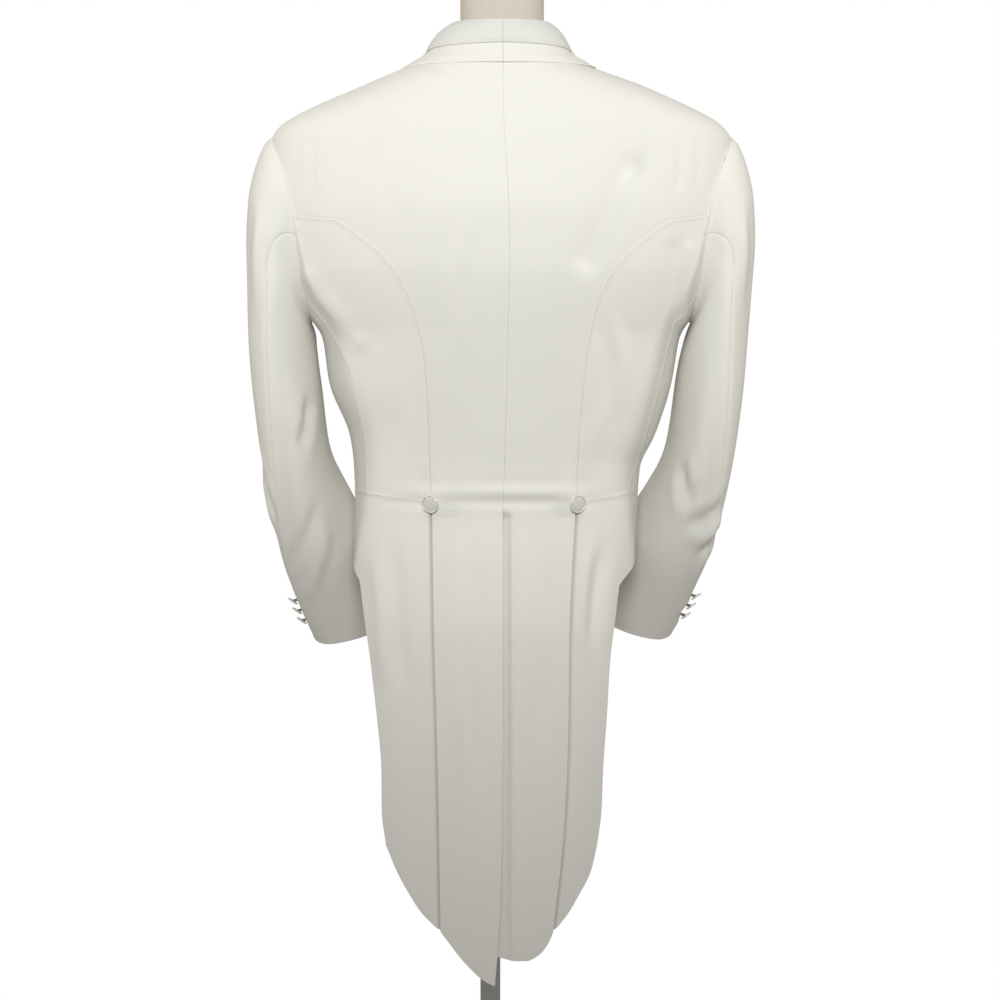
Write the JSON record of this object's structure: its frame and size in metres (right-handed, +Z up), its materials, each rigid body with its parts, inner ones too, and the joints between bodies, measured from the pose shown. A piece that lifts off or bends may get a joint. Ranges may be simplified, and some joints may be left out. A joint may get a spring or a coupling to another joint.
{
  "type": "tailcoat on a dress form",
  "caption": "White evening tailcoat with a two-tier shawl collar, curved back seams, tails with a lapped vent and pleats, on a limbless dress form with a round base.",
  "frame": {"origin": "on the floor, under the middle of the stand's round base", "axes": "+Z up; the coat faces -Y with its back at +Y; the wearer's left is +X"},
  "size_m": [0.5555, 0.34, 1.5643],
  "materials": {
    "coat_cloth": "ivory fine twill with a soft sheen",
    "collar_satin": "pale grey-ivory satin",
    "covered_button": "cloth-covered button",
    "cuff_disc": "thin polished pale disc",
    "form_linen": "natural flecked linen",
    "neck_cap_wood": "waxed turned wood",
    "stand_steel": "satin steel"
  },
  "bodies": {
    "root": {"back_left": "coat_cloth", "side_back_left": "coat_cloth", "forepart_left": "coat_cloth", "skirt_left": "coat_cloth", "top_sleeve_left": "coat_cloth", "under_sleeve_left": "coat_cloth", "border_left": "coat_cloth", "back_right": "coat_cloth", "side_back_right": "coat_cloth", "forepart_right": "coat_cloth", "skirt_right": "coat_cloth", "top_sleeve_right": "coat_cloth", "under_sleeve_right": "coat_cloth", "border_right": "coat_cloth", "shawl_left": "collar_satin", "shawl_right": "collar_satin", "back_button_left": "covered_button", "back_button_right": "covered_button", "cuff_button_left_1": "cuff_disc", "cuff_button_left_2": "cuff_disc", "cuff_button_left_3": "cuff_disc", "cuff_button_right_1": "cuff_disc", "cuff_button_right_2": "cuff_disc", "cuff_button_right_3": "cuff_disc", "form_torso": "form_linen", "form_neck_cap": "neck_cap_wood", "stand_pole": "stand_steel", "stand_base": "stand_steel"}
  },
  "joints": []
}
